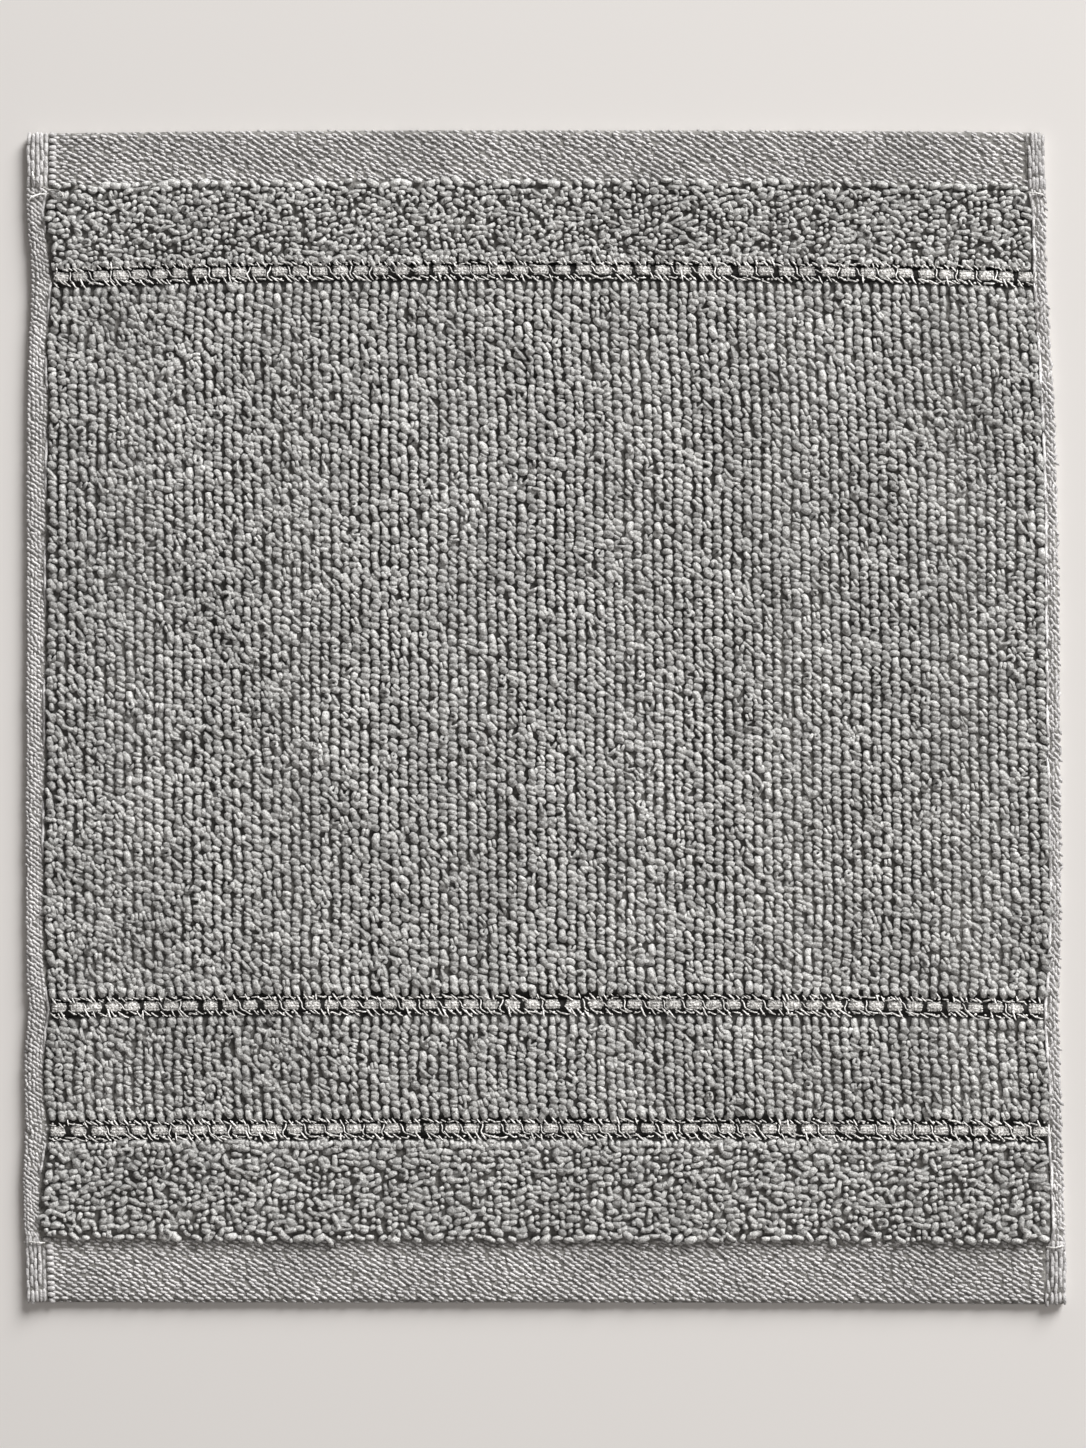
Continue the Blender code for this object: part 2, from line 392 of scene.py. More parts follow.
def yarn_material(name, colour, low, high, low_shade_tone, tuft=0.6 * MM, contrast=0.5):
    """Cotton yarn: fibres that wind along it, a tone for each piece with its painted shade, painted shade
    low down, and broad patches of painted shade. low and high are the heights between which the painted
    shade lifts, as the tone rises from low_shade_tone to 1. tuft is the size of the uneven tufts of its
    fibres, and contrast is how far they vary.
    """
    material = bpy.data.materials.new(name)
    material.use_nodes = True
    nodes = material.node_tree.nodes
    link = material.node_tree.links.new
    shader = nodes["Principled BSDF"]
    set_inputs(shader, Sheen_Weight=0.3, Sheen_Roughness=0.4, Specular_IOR_Level=0.25)

    def attribute(which, output):
        node = nodes.new("ShaderNodeAttribute")
        node.attribute_name = which
        return node.outputs[output]

    def speckle(source, scale, detail, roughness):
        texture = nodes.new("ShaderNodeTexNoise")
        set_inputs(texture, Scale=scale, Detail=detail, Roughness=roughness)
        link(source, texture.inputs["Vector"])
        return texture.outputs["Fac"]

    def spread(source, span, result):
        ramp = nodes.new("ShaderNodeMapRange")
        set_inputs(ramp, From_Min=span[0], From_Max=span[1], To_Min=result[0], To_Max=result[1])
        link(source, ramp.inputs["Value"])
        return ramp.outputs["Result"]

    def product(first, second):
        times = nodes.new("ShaderNodeMath")
        times.operation = "MULTIPLY"
        link(first, times.inputs[0])
        link(second, times.inputs[1])
        return times.outputs["Value"]

    def bump(height, distance):
        relief = nodes.new("ShaderNodeBump")
        set_inputs(relief, Strength=1.0, Distance=distance)
        link(height, relief.inputs["Height"])
        return relief

    place = nodes.new("ShaderNodeTexCoord").outputs["Object"]
    axes = nodes.new("ShaderNodeSeparateXYZ")
    link(place, axes.inputs["Vector"])
    stretch = nodes.new("ShaderNodeMapping")
    set_inputs(stretch, Scale=FIBRE_STRETCH)
    link(attribute("fibre", "Vector"), stretch.inputs["Vector"])
    fibres = speckle(stretch.outputs["Vector"], FIBRE_SCALE, 3.0, 0.6)
    tufts = speckle(place, 1.0 / tuft, 2.0, 0.7)
    patches = speckle(place, PATCH_SCALE, 1.0, 0.5)

    # Painted shade: the colour darkens towards low, where less light reaches.
    depth = spread(axes.outputs["Z"], (low, high), (low_shade_tone, 1.0))
    threads = spread(fibres, NOISE_SPAN, FIBRE_TONES)
    uneven = spread(tufts, NOISE_SPAN, (1.0 - contrast, 1.0 + contrast))
    # Broad patches of painted shade, standing in for soft rolls of the cloth.
    painted_roll_shade = spread(patches, NOISE_SPAN, PATCH_TONES)
    # The tone attribute carries random tones and the painted shade of creases, eyes, curls and bands; it is
    # scaled by the painted shade low down.
    tone_and_painted_shade = product(attribute("tone", "Fac"), depth)
    light = product(tone_and_painted_shade, product(product(threads, uneven), painted_roll_shade))
    dyed = nodes.new("ShaderNodeVectorMath")
    dyed.operation = "SCALE"
    dyed.inputs[0].default_value = colour
    link(light, dyed.inputs["Scale"])
    link(dyed.outputs["Vector"], shader.inputs["Base Color"])
    link(spread(fibres, NOISE_SPAN, ROUGHNESSES), shader.inputs["Roughness"])

    swell = bump(tufts, TUFT_RELIEF * tuft)
    relief = bump(fibres, FIBRE_RELIEF)
    link(swell.outputs["Normal"], relief.inputs["Normal"])
    link(relief.outputs["Normal"], shader.inputs["Normal"])
    return material


def material_once(name, colour, *looks):
    """A finish by name, made the first time that a piece asks for it."""
    found = bpy.data.materials.get(name)
    return found or yarn_material(name, tuple(colour), *looks)


def loop_material(colours):
    return material_once("loop_yarn", colours.loops, 2.0 * MM, 3.9 * MM, 0.3)


def hem_material(colours):
    return material_once("hem_yarn", colours.hems, 1.8 * MM, 2.6 * MM, 0.66, 0.7 * MM, 0.35)


def ribbon_material(colours):
    return material_once("ribbon_yarn", colours.ribbons, 2.4 * MM, 3.8 * MM, 0.5, 0.6 * MM, 0.65)


def base_material(colours):
    return material_once("base_cloth", colours.base, 0.0, 1.2 * MM, 0.9, 1.9 * MM, 0.5)


# How the loops of the pile lie: each kind's share where the wales are neat and where they
# are ruffled, the way it points there, in degrees from the cloth's width, and its spread.
# Length and width are in millimetres, and step is the share of its extent left free.
Kind = namedtuple("Kind", "name neat ruffled yaw ruffled_yaw spread length width step")
FIELD_KINDS = (
    Kind("bean", 0.68, 0.22, -34.0, -54.0, 14.0, 2.95, 2.25, 0.75),
    Kind("long", 0.07, 0.20, -72.0, -58.0, 12.0, 4.1, 2.3, 0.74),
    Kind("pair", 0.09, 0.08, -46.0, -50.0, 20.0, 3.1, 2.2, 0.76),
    Kind("small", 0.04, 0.34, -40.0, -56.0, 18.0, 2.7, 1.6, 0.74),
    Kind("turned", 0.05, 0.06, 20.0, 10.0, 60.0, 3.0, 2.1, 0.76),
    Kind("hook", 0.02, 0.02, -80.0, -60.0, 60.0, 3.0, 2.9, 0.74),
    Kind("ring", 0.02, 0.02, -40.0, -40.0, 90.0, 2.8, 2.6, 0.80),
    Kind("strand", 0.02, 0.05, -55.0, -50.0, 16.0, 4.8, 1.3, 0.30),
    Kind("bead", 0.01, 0.05, 0.0, 0.0, 90.0, 1.7, 1.6, 0.70),
)
# In the bands each kind lies across the cloth: its share, spread, length, width and step.
BAND_KINDS = tuple(Kind(name, 0.0, share, 0.0, 0.0, *form) for name, share, *form in (
    ("bead", 0.26, 90.0, 1.9, 1.7, 0.98),
    ("small", 0.38, 34.0, 2.8, 1.6, 0.82),
    ("bean", 0.16, 40.0, 3.1, 2.1, 0.82),
    ("worm", 0.12, 34.0, 4.0, 1.5, 0.76),
    ("strand", 0.02, 20.0, 5.0, 1.3, 0.5),
    ("hook", 0.02, 80.0, 3.0, 2.9, 0.75),
    ("ring", 0.01, 90.0, 2.8, 2.6, 0.75),
))
# The mean lean to one side, in degrees, and the least height of a loop's top.
LEAN = 14.0
LOWEST_LOOP = 2.9 * MM
TOOTH = Kind("tooth", 0.0, 0.0, -78.0, -78.0, 15.0, 3.6, 2.1, 0.80)
FILLER = Kind("small", 0.0, 0.0, -60.0, -60.0, 30.0, 2.5, 1.6, 0.70)


# Full loops: their shares of the length and of the width, their bend in millimetres and eye.
FULL_LOOPS = ((1.0, 1.0, 0.15, 1.0), (1.06, 0.94, -0.12, 0.5), (0.94, 1.05, 0.0, 0.8), (1.1, 0.9, 0.3, 0.2))


def bent(bends, length, width, depth, droop, **form):
    """One bean for each bend; all sizes but the depth are in millimetres."""
    return [bean(length * MM, width * MM, depth, bend * MM, droop * MM, **form) for bend in bends]


def loop_shapes(sizes):
    """Every kind of loop, a few of each, with the one bent a little more than the other."""
    length = sizes.loop_length
    width = sizes.loop_width
    depth = sizes.loop_depth
    yarn = 0.5 * sizes.yarn_width
    beans = [
        bean(length * a, width * b, depth, bend * MM, 0.45 * MM, eye=eye) for a, b, bend, eye in FULL_LOOPS
    ]
    leg = bean(0.95 * length, 0.56 * width, depth, 0.1 * MM, 0.5 * MM, rings=4)
    parted = bent((0.15,), 3.6, 2.1, depth, 0.4, rings=4, eye=0.9)
    closed = bent((-0.15,), 3.6, 2.1, depth, 0.4, rings=4)
    return {
        "bean": beans,
        "pair": [paired(leg, 0.5 * width)],
        "turned": beans,
        "long": bent((0.25, -0.25, 0.0), 4.2, 2.3, 0.85 * depth, 0.5, rings=4),
        "small": bent((0.2, -0.1), 2.8, 1.55, 0.85 * depth, 0.4, rings=4),
        "tooth": parted + closed,
        "strand": bent((0.5, -0.4, 0.1), 5.0, 1.3, 1.5 * MM, 0.5, sides=4),
        "worm": bent((0.5, -0.4, 0.2), 3.9, 1.5, 2.2 * MM, 0.5, rings=4),
        "bead": [bean(1.6 * MM, 1.4 * MM, depth, rings=3), bean(1.4 * MM, 1.6 * MM, depth, rings=3)],
        "hook": [curl(0.75, 180.0, 1.2, 0.9, yarn), curl(0.9, 160.0, 1.5, 1.0, yarn)],
        "ring": [curl(0.78, 280.0, 0.4, 0.6, yarn, 7), curl(0.9, 250.0, 0.7, 0.8, yarn, 7)],
    }


# Ruffled places at the right side: where they are, and how wide.
RUFFLED = ((0.112, 0.088, 0.024), (0.132, -0.062, 0.018), (0.124, -0.118, 0.022))


def ruffle(x, y):
    """How far the wales are disturbed here, from 0 to 1: most at the left side, in patches."""
    wild = 0.38 * min(max((-0.04 - x) / 0.04, -1.0), 1.0)
    wild += 0.8 * noise.noise(Vector((x * 38.0, y * 38.0, 3.0)))
    for spot_x, spot_y, width in RUFFLED:
        wild += 0.8 * math.exp(-((x - spot_x) ** 2 + (y - spot_y) ** 2) / width ** 2)
    return min(max(wild, 0.0), 0.85)


def loop_span(y):
    """The two ends of the loops, which lean a little over the foot of the pile."""
    start, stop = pile_span(y)
    return start - 0.9 * MM, stop + 1.1 * MM


def wale_drift(x, y):
    """How far neighbouring wales wander sideways together."""
    return 0.5 * MM * noise.noise(Vector((x * 24.0, y * 30.0, 11.0)))


def pick_kind(kinds, draw, wild):
    """The kind at this share of the whole mix."""
    shares = [between(kind.neat, kind.ruffled, wild) for kind in kinds]
    left = draw * sum(shares)
    for kind, share in zip(kinds, shares):
        left -= share
        if left <= 0.0:
            return kind
    return kinds[-1]


def place_loop(copies, shapes, kind, x, y, height, wild, shade=1.0, scale=1.0):
    """One loop with its top near the given height; returns its extent down the cloth."""
    dice = copies.random
    yaw = dice.gauss(between(kind.yaw, kind.ruffled_yaw, wild), kind.spread * (1.0 + 0.5 * wild))
    size = scale * dice.uniform(0.88, 1.12)
    turn = math.radians(yaw)
    extent = size * math.hypot(kind.length * math.sin(turn), kind.width * math.cos(turn)) * MM
    spot = Vector((x, y - 0.5 * extent, max(height, LOWEST_LOOP)))
    # Painted shade: ruffled loops are darker, and shade darkens a whole band's loops; the last factor is a
    # tone that differs at random.
    tone = shade * (1.0 - 0.2 * wild) * dice.uniform(0.88, 1.12)
    copies.place(
        dice.choice(shapes[kind.name]), spot, yaw,
        tilt=dice.gauss(0.0, 7.0), roll=dice.gauss(LEAN, 9.0), size=size, tone=tone,
    )
    return extent * kind.step


def walk_wale(copies, shapes, wale, top, bottom):
    """Loops one below the other down a wale, between two lines of the weave."""
    dice = copies.random
    y = top - dice.uniform(0.0, 0.5) * MM
    first = y
    while y > bottom + 2.4 * MM:
        start, stop = loop_span(y)
        middle = between(start, stop, (wale + 0.5) / WALES)
        wild = ruffle(middle, y)
        kind = TOOTH if y == first else pick_kind(FIELD_KINDS, dice.random(), wild)
        x = middle + wale_drift(middle, y) + dice.gauss(0.0, between(0.09, 0.32, wild)) * MM
        real_y = sagged(x, y)
        height = pile_height(middle, y - 0.9 * MM) + dice.uniform(-0.25 - 0.15 * wild, 0.1) * MM
        if dice.random() < 0.05 + 0.55 * wild:
            place_loop(copies, shapes, FILLER, x + 1.4 * MM, real_y, height - 0.2 * MM, wild)
        y -= place_loop(copies, shapes, kind, x, real_y, height, wild)
    y = bottom + dice.uniform(3.2, 3.8) * MM
    place_loop(copies, shapes, TOOTH, middle, sagged(middle, y), pile_height(middle, y) - 0.2 * MM, 0.0)


def fill_band(copies, shapes, top, bottom, pitch, shade, scale):
    """Loops thrown together between two lines of the weave."""
    dice = copies.random
    start, stop = pile_span(0.5 * (top + bottom))
    columns = round((stop - start) / pitch)
    for column in range(columns):
        y = top - dice.uniform(0.0, 1.6) * MM
        while y > bottom + 0.4 * MM:
            start, stop = pile_span(y)
            x = between(start, stop, (column + 0.5) / columns) + dice.gauss(0.0, 0.4) * MM
            kind = pick_kind(BAND_KINDS, dice.random(), 1.0)
            height = pile_height(x, y) + dice.uniform(-0.4, 0.12) * MM
            y -= place_loop(copies, shapes, kind, x, sagged(x, y) + 0.8 * MM, height, 0.0, shade, scale)


def line_teeth(copies, shapes, y, pitch):
    """The upright loops of a ruffled band where it meets a border line."""
    dice = copies.random
    start, stop = pile_span(y)
    x = start
    while x < stop:
        real_y = sagged(x, y) + dice.gauss(1.2, 0.25) * MM
        height = pile_height(x, y) - dice.uniform(0.1, 0.5) * MM
        place_loop(copies, shapes, FILLER._replace(yaw=-80.0), x, real_y, height, 0.0)
        x += pitch * dice.uniform(0.8, 1.2)


def line_lip(copies, shapes, line, inward):
    """The uneven row of round and lying loops where the pile begins at an end hem."""
    dice = copies.random
    start, stop = pile_span(line.y)
    x = start
    while x < stop:
        lying = dice.random() < 0.8
        name = dice.choice(("small", "long", "worm")) if lying else "bead"
        length = (3.4 if lying else 1.7) * MM
        y = sagged(x, line.y + inward) + dice.gauss(0.0, 0.45) * MM
        spot = Vector((x + 0.5 * length, y, pile_height(x, y) - dice.uniform(0.2, 0.5) * MM))
        yaw = dice.gauss(-8.0, 22.0)
        shape = dice.choice(shapes[name])
        copies.place(shape, spot, yaw, size=dice.uniform(0.95, 1.12), tone=dice.uniform(0.95, 1.12))
        x += length * dice.uniform(0.8, 1.1)


def weave_end_hem(copies, edge, hem, inward):
    """The flat weave of an end hem: slanting floats in staggered rows."""
    dice = copies.random
    floats = bent((0.12, -0.12), 2.45, 0.88, 0.8 * MM, 0.35, rings=3, sides=4, crease=0.1)
    oval = bean(2.5 * MM, 1.5 * MM, 0.9 * MM, 0.0, 0.3 * MM, rings=4, crease=0.2)
    pitch_x = 2.6 * MM
    pitch_y = 0.86 * MM
    rows = int((abs(edge.y - hem.y) - 0.3 * MM) / pitch_y)
    for row in range(rows):
        y = edge.y + inward * (0.55 * MM + row * pitch_y)
        station = read_table(STATIONS, y)
        x = station.left + station.left_hem + (1.0 + 1.3 * (row % 2)) * MM
        if row % 2 == 0:
            real_y = sagged(x, y) + dice.gauss(0.0, 0.15) * MM
            spot = Vector((x, real_y, cad_height(x, real_y) + 0.15 * MM))
            copies.place(oval, spot, dice.gauss(-6.0, 5.0), tone=dice.uniform(0.84, 0.98))
            x += pitch_x
        while x < station.right - station.right_hem - 0.6 * MM:
            near_seam = math.exp(-(x - station.left - station.left_hem) / 0.016)
            wave = 6.0 * noise.noise(Vector((x * 60.0, y * 60.0, 7.0)))
            yaw = -21.0 + 14.0 * near_seam + wave + dice.gauss(0.0, 8.0)
            real_y = sagged(x, y) + dice.gauss(0.0, 0.14) * MM
            height = cad_height(x, real_y) + dice.uniform(-0.14, 0.06) * MM
            spot = Vector((x + dice.gauss(0.0, 0.32) * MM, real_y, height))
            shape = dice.choice(floats)
            copies.place(shape, spot, yaw, size=dice.uniform(0.85, 1.12), tone=dice.uniform(0.92, 1.1))
            x += pitch_x


def weave_side(copies, on_left):
    """The floats of a side hem: steep ones along the loops, upright ones at the ends."""
    short = bean(2.1 * MM, 1.05 * MM, 0.9 * MM, 0.05 * MM, 0.2 * MM, rings=3, sides=4, crease=0.1)
    tall = bean(2.9 * MM, 1.0 * MM, 0.9 * MM, 0.05 * MM, 0.2 * MM, rings=3, sides=4, crease=0.1)
    upright = bean(4.3 * MM, 1.2 * MM, 0.9 * MM, 0.0, 0.15 * MM, rings=4, crease=0.15)
    along = (short, 5, 1.4, -56.0, 19.0) if on_left else (tall, 4, 2.0, -78.0, 19.0)
    corner = (upright, 5, 3.3, -90.0, 2.5, 0.86)
    float_zone(copies, on_left, TOP_EDGE.y - 0.3 * MM, TOP_HEM.y, *corner)
    float_zone(copies, on_left, TOP_HEM.y, BOTTOM_HEM.y, *along)
    float_zone(copies, on_left, BOTTOM_HEM.y, BOTTOM_EDGE.y + 0.3 * MM, *corner)


def float_zone(copies, on_left, top, bottom, shape, columns, step, yaw, spread, shade=1.0):
    """Columns of floats down one stretch of a side hem."""
    dice = copies.random
    rows = round((top - bottom) / (step * MM))
    for column in range(columns):
        for row in range(rows):
            y = top - (top - bottom) * (row + 0.5 + dice.uniform(-0.14, 0.14)) / rows
            if 0 < row < rows - 1:
                y += 0.45 * step * (column % 2) * MM
            station = read_table(STATIONS, y)
            inward = between(0.4 * MM, hem_width(station, on_left) - 0.9 * MM, column / (columns - 1))
            x = in_from_side(station, on_left, inward + dice.gauss(0.0, 0.12) * MM)
            real_y = sagged(x, y)
            nearer = 0.35 * MM if on_left else -0.35 * MM
            height = cad_height(x + nearer, real_y) + dice.uniform(-0.08, 0.08) * MM
            size = dice.uniform(0.85, 1.1)
            spot = Vector((x, real_y, height))
            tone = dice.uniform(0.92, 1.08) if on_left else dice.uniform(0.84, 0.98)
            copies.place(shape, spot, dice.gauss(yaw, spread), size=size, tone=shade * tone)


SEAM_TOP = 2.95 * MM
SEAM_RADIUS = 0.42 * MM


def seam_thread(copies, on_left):
    """The smooth thread along the inner side of a side hem, in stretches of its own length."""
    dice = copies.random
    y = TOP_HEM.y - 1.0 * MM
    while y > BOTTOM_HEM.y + 6.0 * MM:
        length = dice.uniform(9.0, 22.0) * MM
        points = []
        for step in range(7):
            here = y - length * step / 6.0
            station = read_table(STATIONS, here)
            x = in_from_side(station, on_left, hem_width(station, on_left) - 0.35 * MM)
            sunk = 0.5 * MM if step in (0, 6) else 0.0
            points.append((x + dice.gauss(0.0, 0.08) * MM, sagged(x, here), SEAM_TOP - sunk))
        tone = dice.uniform(0.8, 0.95) if on_left else dice.uniform(1.0, 1.12)
        copies.place(strand(points, SEAM_RADIUS), Vector(), 0.0, tone=tone)
        y -= length * (dice.uniform(1.6, 3.5) if on_left else 1.0)


# The thread that binds the ribbon between two dashes, in millimetres from its middle.
BINDING = ((-0.5, 1.6, -0.5), (-0.2, 1.1, 0.0), (0.0, 0.4, -0.1), (0.0, -0.7, -0.1), (0.4, -1.4, 0.0),
           (1.3, -1.9, 0.1), (2.4, -2.2, -0.4))
GRAIN_ROWS = (1.0, 0.35, -0.35, -1.0)
# Short threads in the grooves: their shape, distance from the line and pitch, in millimetres.
GROOVE_ROWS = (("above", 2.1, 1.7), ("below", -2.2, 2.0), ("dot", 2.1, 2.4), ("dot", -2.4, 2.0))


def in_mm(points):
    return [tuple(value * MM for value in point) for point in points]


def ribbon_shapes():
    slant = ((-1.0, 0.5, -0.4), (-0.4, 0.2, 0.0), (0.3, -0.15, 0.0), (0.9, -0.45, -0.4))
    curve = ((-1.3, 0.6, -0.4), (-0.6, 0.25, 0.0), (0.4, -0.35, 0.0), (1.3, -0.6, -0.4))
    return {
        "dash": bean(4.7 * MM, 2.8 * MM, 1.4 * MM, 0.0, 0.3 * MM, sides=6, crease=0.2),
        "grain": bean(1.15 * MM, 0.75 * MM, 0.7 * MM, 0.0, 0.1 * MM, rings=3, sides=4, crease=0.2),
        "binding": [strand(in_mm(BINDING[:count]), 0.21 * MM, sides=4) for count in (7, 6)],
        "above": strand(in_mm(slant), 0.24 * MM, sides=4),
        "below": strand(in_mm(curve), 0.24 * MM, sides=4),
        "dot": bean(0.8 * MM, 0.6 * MM, 0.6 * MM, rings=3, sides=4, crease=0.1),
    }


def lay_border(copies, shapes, line, ribbon_top):
    """One border line: granular dashes, the threads between them and across the grooves."""
    dice = copies.random
    start, stop = pile_span(line.y)
    x = start + 1.8 * MM
    while x < stop + 0.4 * MM:
        pitch = dice.gauss(5.75, 0.3) * MM
        y = sagged(x, line.y)
        tone = dice.uniform(0.95, 1.06)
        spot = Vector((x, y, ribbon_top))
        copies.place(shapes["dash"], spot, dice.gauss(-4.0, 3.0), size=dice.uniform(0.94, 1.04), tone=tone)
        for row in GRAIN_ROWS:
            for column in range(5):
                across = between(-1.75, 1.75, column / 4.0) * (1.0 - 0.12 * row * row) - 0.1 * row
                across += dice.gauss(0.0, 0.16)
                edge = 0.1 * abs(column - 2) + 0.28 * abs(row)
                spot = Vector((
                    x + across * MM,
                    y + (row + dice.gauss(0.0, 0.07)) * MM,
                    ribbon_top + (0.28 - edge + dice.gauss(0.0, 0.08)) * MM,
                ))
                copies.place(
                    shapes["grain"], spot, dice.gauss(-12.0, 40.0),
                    size=dice.uniform(0.8, 1.15), tone=tone * dice.uniform(0.8, 1.2),
                )
        spot = Vector((x + 0.5 * pitch, sagged(x + 0.5 * pitch, line.y), ribbon_top + 0.15 * MM))
        if dice.random() < 0.85:
            copies.place(
                dice.choice(shapes["binding"]), spot, dice.gauss(0.0, 18.0),
                size=dice.uniform(0.75, 1.0), tone=dice.uniform(1.0, 1.3),
            )
        x += pitch
    for name, away, pitch in GROOVE_ROWS:
        x = start + 0.5 * MM
        while x < stop:
            y = sagged(x, line.y + away * MM) + dice.gauss(0.0, 0.3) * MM
            spot = Vector((x, y, ribbon_top + 0.2 * MM))
            yaw = dice.gauss(-8.0, 20.0)
            copies.place(shapes[name], spot, yaw, size=dice.uniform(0.7, 1.2), tone=dice.uniform(1.0, 1.4))
            x += pitch * dice.uniform(0.5, 1.5) * MM


# Loose thread ends at the corners, as places in tenths of a millimetre.
THREAD_ENDS = (
    ((-1486, 1582), (-1478, 1556), (-1460, 1538), (-1435, 1527), (-1406, 1524), (-1394, 1510)),
    ((-1437, 1518), (-1462, 1517), (-1487, 1509), (-1498, 1497), (-1504, 1492)),
    ((1399, 1521), (1424, 1520), (1444, 1516), (1454, 1509)),
    ((-1513, -1524), (-1488, -1521), (-1465, -1524), (-1449, -1523)),
    ((1454, -1535), (1478, -1538), (1500, -1533), (1512, -1535)),
)


def lay_thread(copies, points, radius):
    path = []
    for x, y in map(tenths, points):
        start, stop = pile_span(y)
        on_pile = start - MM < x < stop + MM and BOTTOM_HEM.y < y < TOP_HEM.y + MM
        path.append((x, y, (pile_height(x, y) if on_pile else cad_height(x, y)) + 0.4 * MM))
    copies.place(strand(path, radius, taper=0.8), Vector(), 0.0, tone=1.3)


# The base cloth that carries the loops.
BaseRow = namedtuple("BaseRow", "y inward sunk bottom tone")
HEM_SUNK = 0.62 * MM
PILE_SUNK = 1.8 * MM
PILE_BOTTOM = 1.2 * MM
# Tones of the base cloth are painted shade: darker where it lies under floats and loops, darkest in the
# grooves of the border lines.
HEM_BASE_SHADE = 0.74
# A painted highlight at the rim: the rounded edge of the base cloth is lighter, as it catches the light.
RIM_HIGHLIGHT = 1.25
PILE_BASE_SHADE = 0.42
BAND_BASE_SHADE = 0.45
GROOVE_SHADE = 0.11
BASE_COLUMNS = 36
BASE_PITCH = 4.5 * MM
# The first two steps in from any edge: how far in, how far down, and the underside's height.
RIM_STEPS = ((0.0, 0.0, 0.7 * MM), (0.5 * MM, 0.3 * MM, 0.2 * MM))


def spread_rows(start, stop, sunk, bottom, tone):
    count = max(round(abs(stop - start) / BASE_PITCH), 1)
    return [BaseRow(between(start, stop, k / count), ROUNDING, sunk, bottom, tone) for k in range(count + 1)]


def border_base(line):
    half = ((3.5, 2.2), (2.8, 1.2), (1.5, 1.2), (1.0, 0.9))
    steps = half + tuple((-y, sunk) for y, sunk in reversed(half))
    return [BaseRow(line.y + y * MM, ROUNDING, sunk * MM, PILE_BOTTOM, GROOVE_SHADE) for y, sunk in steps]


def rim_rows(edge, inward):
    """The first two rows in from an end of the cloth."""
    return [BaseRow(edge.y + inward * step[0], *step, HEM_BASE_SHADE) for step in RIM_STEPS]


def base_rows():
    """Rows of the base cloth from the top edge to the bottom edge."""
    pile = (PILE_SUNK, PILE_BOTTOM, PILE_BASE_SHADE)
    band = (PILE_SUNK, PILE_BOTTOM, BAND_BASE_SHADE)
    hem = (HEM_SUNK, 0.0, HEM_BASE_SHADE)
    clear = BORDER_REACH + 1.2 * MM
    rows = rim_rows(TOP_EDGE, -1.0) + spread_rows(TOP_EDGE.y - ROUNDING, TOP_HEM.y, *hem)
    top = TOP_HEM.y - 0.8 * MM
    for line, above in zip(BORDERS, (band, pile, pile)):
        rows += spread_rows(top, line.y + clear, *above)
        rows += border_base(line)
        top = line.y - clear
    rows += spread_rows(top, BOTTOM_HEM.y + 0.8 * MM, *band)
    rows += spread_rows(BOTTOM_HEM.y, BOTTOM_EDGE.y + ROUNDING, *hem)
    return rows + rim_rows(BOTTOM_EDGE, 1.0)[::-1]


SideStep = namedtuple("SideStep", "inward sunk bottom")


def side_steps(width):
    """Columns of the base cloth in a side hem, from the edge inwards."""
    return (
        SideStep(*RIM_STEPS[0]),
        SideStep(*RIM_STEPS[1]),
        SideStep(ROUNDING, 0.4 * MM, 0.0),
        SideStep(width - 0.6 * MM, 0.4 * MM, 0.0),
        SideStep(width, 0.3 * MM, 0.3 * MM),
    )


SIDE_COLUMNS = 5


def rounded_corner(side_inward, end_inward):
    """Distances in from the two edges, once the sharp corner is made an arc."""
    if side_inward >= ROUNDING or end_inward >= ROUNDING:
        return side_inward, end_inward
    a = 1.0 - side_inward / ROUNDING
    b = 1.0 - end_inward / ROUNDING
    side = ROUNDING * (1.0 - a * math.sqrt(1.0 - 0.5 * b * b))
    end = ROUNDING * (1.0 - b * math.sqrt(1.0 - 0.5 * a * a))
    return side, end


def base_point(column, row, tops):
    """Upper or lower place of one point of the base cloth, and its tone of painted shade."""
    station = read_table(STATIONS, row.y)
    from_right = 2 * SIDE_COLUMNS + BASE_COLUMNS - column
    sunk, bottom, tone = row.sunk, row.bottom, row.tone
    end_shift = 0.0
    if column < SIDE_COLUMNS or from_right < SIDE_COLUMNS:
        on_left = column < SIDE_COLUMNS
        step = side_steps(hem_width(station, on_left))[column if on_left else from_right]
        side, end = rounded_corner(step.inward, row.inward)
        end_shift = (end - row.inward) * (-1.0 if row.y > 0.0 else 1.0)
        x = in_from_side(station, on_left, side)
        sunk = step.sunk
        tone = RIM_HIGHLIGHT if step.inward < ROUNDING else HEM_BASE_SHADE
        bottom = max(step.bottom, 0.0 if row.bottom == PILE_BOTTOM else row.bottom)
    else:
        start, stop = pile_span(row.y)
        x = between(start, stop, (column - SIDE_COLUMNS) / BASE_COLUMNS)
    y = sagged(x, row.y) + end_shift
    if not tops:
        return Vector((x, y, bottom)), tone
    return Vector((x, y, max(cad_height(x, y) - sunk, bottom + 0.5 * MM))), tone


